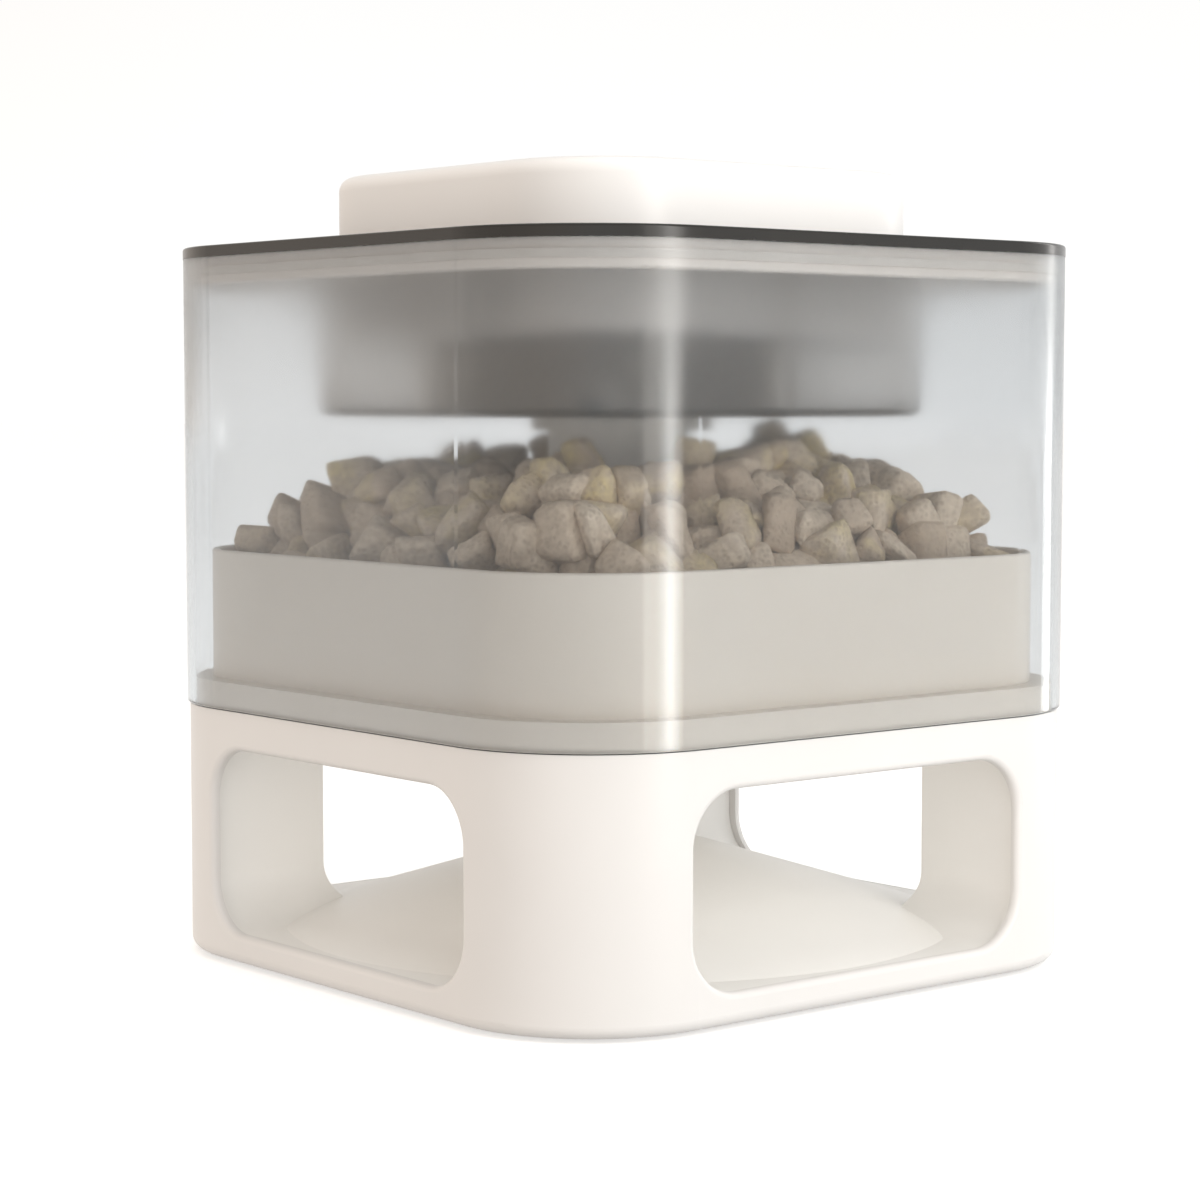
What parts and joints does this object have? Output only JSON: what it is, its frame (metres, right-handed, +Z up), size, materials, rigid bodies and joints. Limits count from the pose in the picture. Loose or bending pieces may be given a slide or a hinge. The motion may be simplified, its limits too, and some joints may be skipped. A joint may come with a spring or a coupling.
{
  "type": "push-button pet feeder",
  "caption": "Square dry-food dispenser: smoked hopper over a white base with arched windows; a big sprung top button opens a valve above a conical ramp.",
  "frame": {"origin": "centre of the surface the feet stand on", "axes": "+Z up; -Y is one of the four equal window sides"},
  "size_m": [0.1806, 0.1806, 0.197],
  "materials": {
    "shell_white": "satin moulded white ABS",
    "chute_white": "satin moulded white ABS",
    "bowl_white": "satin moulded white ABS",
    "lid_white": "satin moulded white ABS",
    "cap_white": "satin moulded white ABS",
    "tube_white": "fine matt warm white",
    "cover_smoke": "polished smoked clear polycarbonate",
    "lid_smoke": "polished dark smoked polycarbonate",
    "well_smoke": "polished smoked polycarbonate",
    "tower_dark": "fine matt dark acetal",
    "foot_rubber": "matt black rubber",
    "gasket_rubber": "matt black rubber",
    "seal_silicone": "soft translucent silicone",
    "screw_steel": "zinc-plated steel",
    "spring_steel": "drawn spring steel wire"
  },
  "bodies": {
    "base": {"base_shell": "shell_white", "launch_ramp": "chute_white", "chute_deck": "chute_white", "base_plate": "shell_white", "feet": "foot_rubber", "outlet_collar": "chute_white", "food_bowl": "bowl_white", "hopper_cover": "cover_smoke", "cover_gasket": "gasket_rubber", "base_screws": "screw_steel", "deck_screws": "screw_steel", "bowl_screws": "screw_steel"},
    "lid": {"lid_plate": "lid_smoke", "lid_frame": "lid_white", "lid_seal": "seal_silicone", "button_well": "well_smoke", "guide_tower": "tower_dark", "stop_pads": "foot_rubber", "tower_screws": "screw_steel"},
    "button": {"button_cap": "cap_white", "push_tube": "tube_white", "stop_ring": "tube_white", "agitator": "tube_white", "valve_cone": "chute_white", "valve_seal": "seal_silicone", "valve_bolt": "screw_steel", "valve_nut": "screw_steel", "spring_washer": "screw_steel", "return_spring": "spring_steel", "cap_screws": "screw_steel"}
  },
  "joints": [
    {"name": "lid_lift", "type": "slide", "parent": "base", "child": "lid", "axis": [0, 0, 1], "range_m": [0, 0.14]},
    {"name": "button_press", "type": "slide", "parent": "lid", "child": "button", "axis": [0, 0, -1], "range_m": [0, 0.016], "stiffness_N_per_m": 500, "springref_m": -0.01, "deforming": ["return_spring"]}
  ]
}
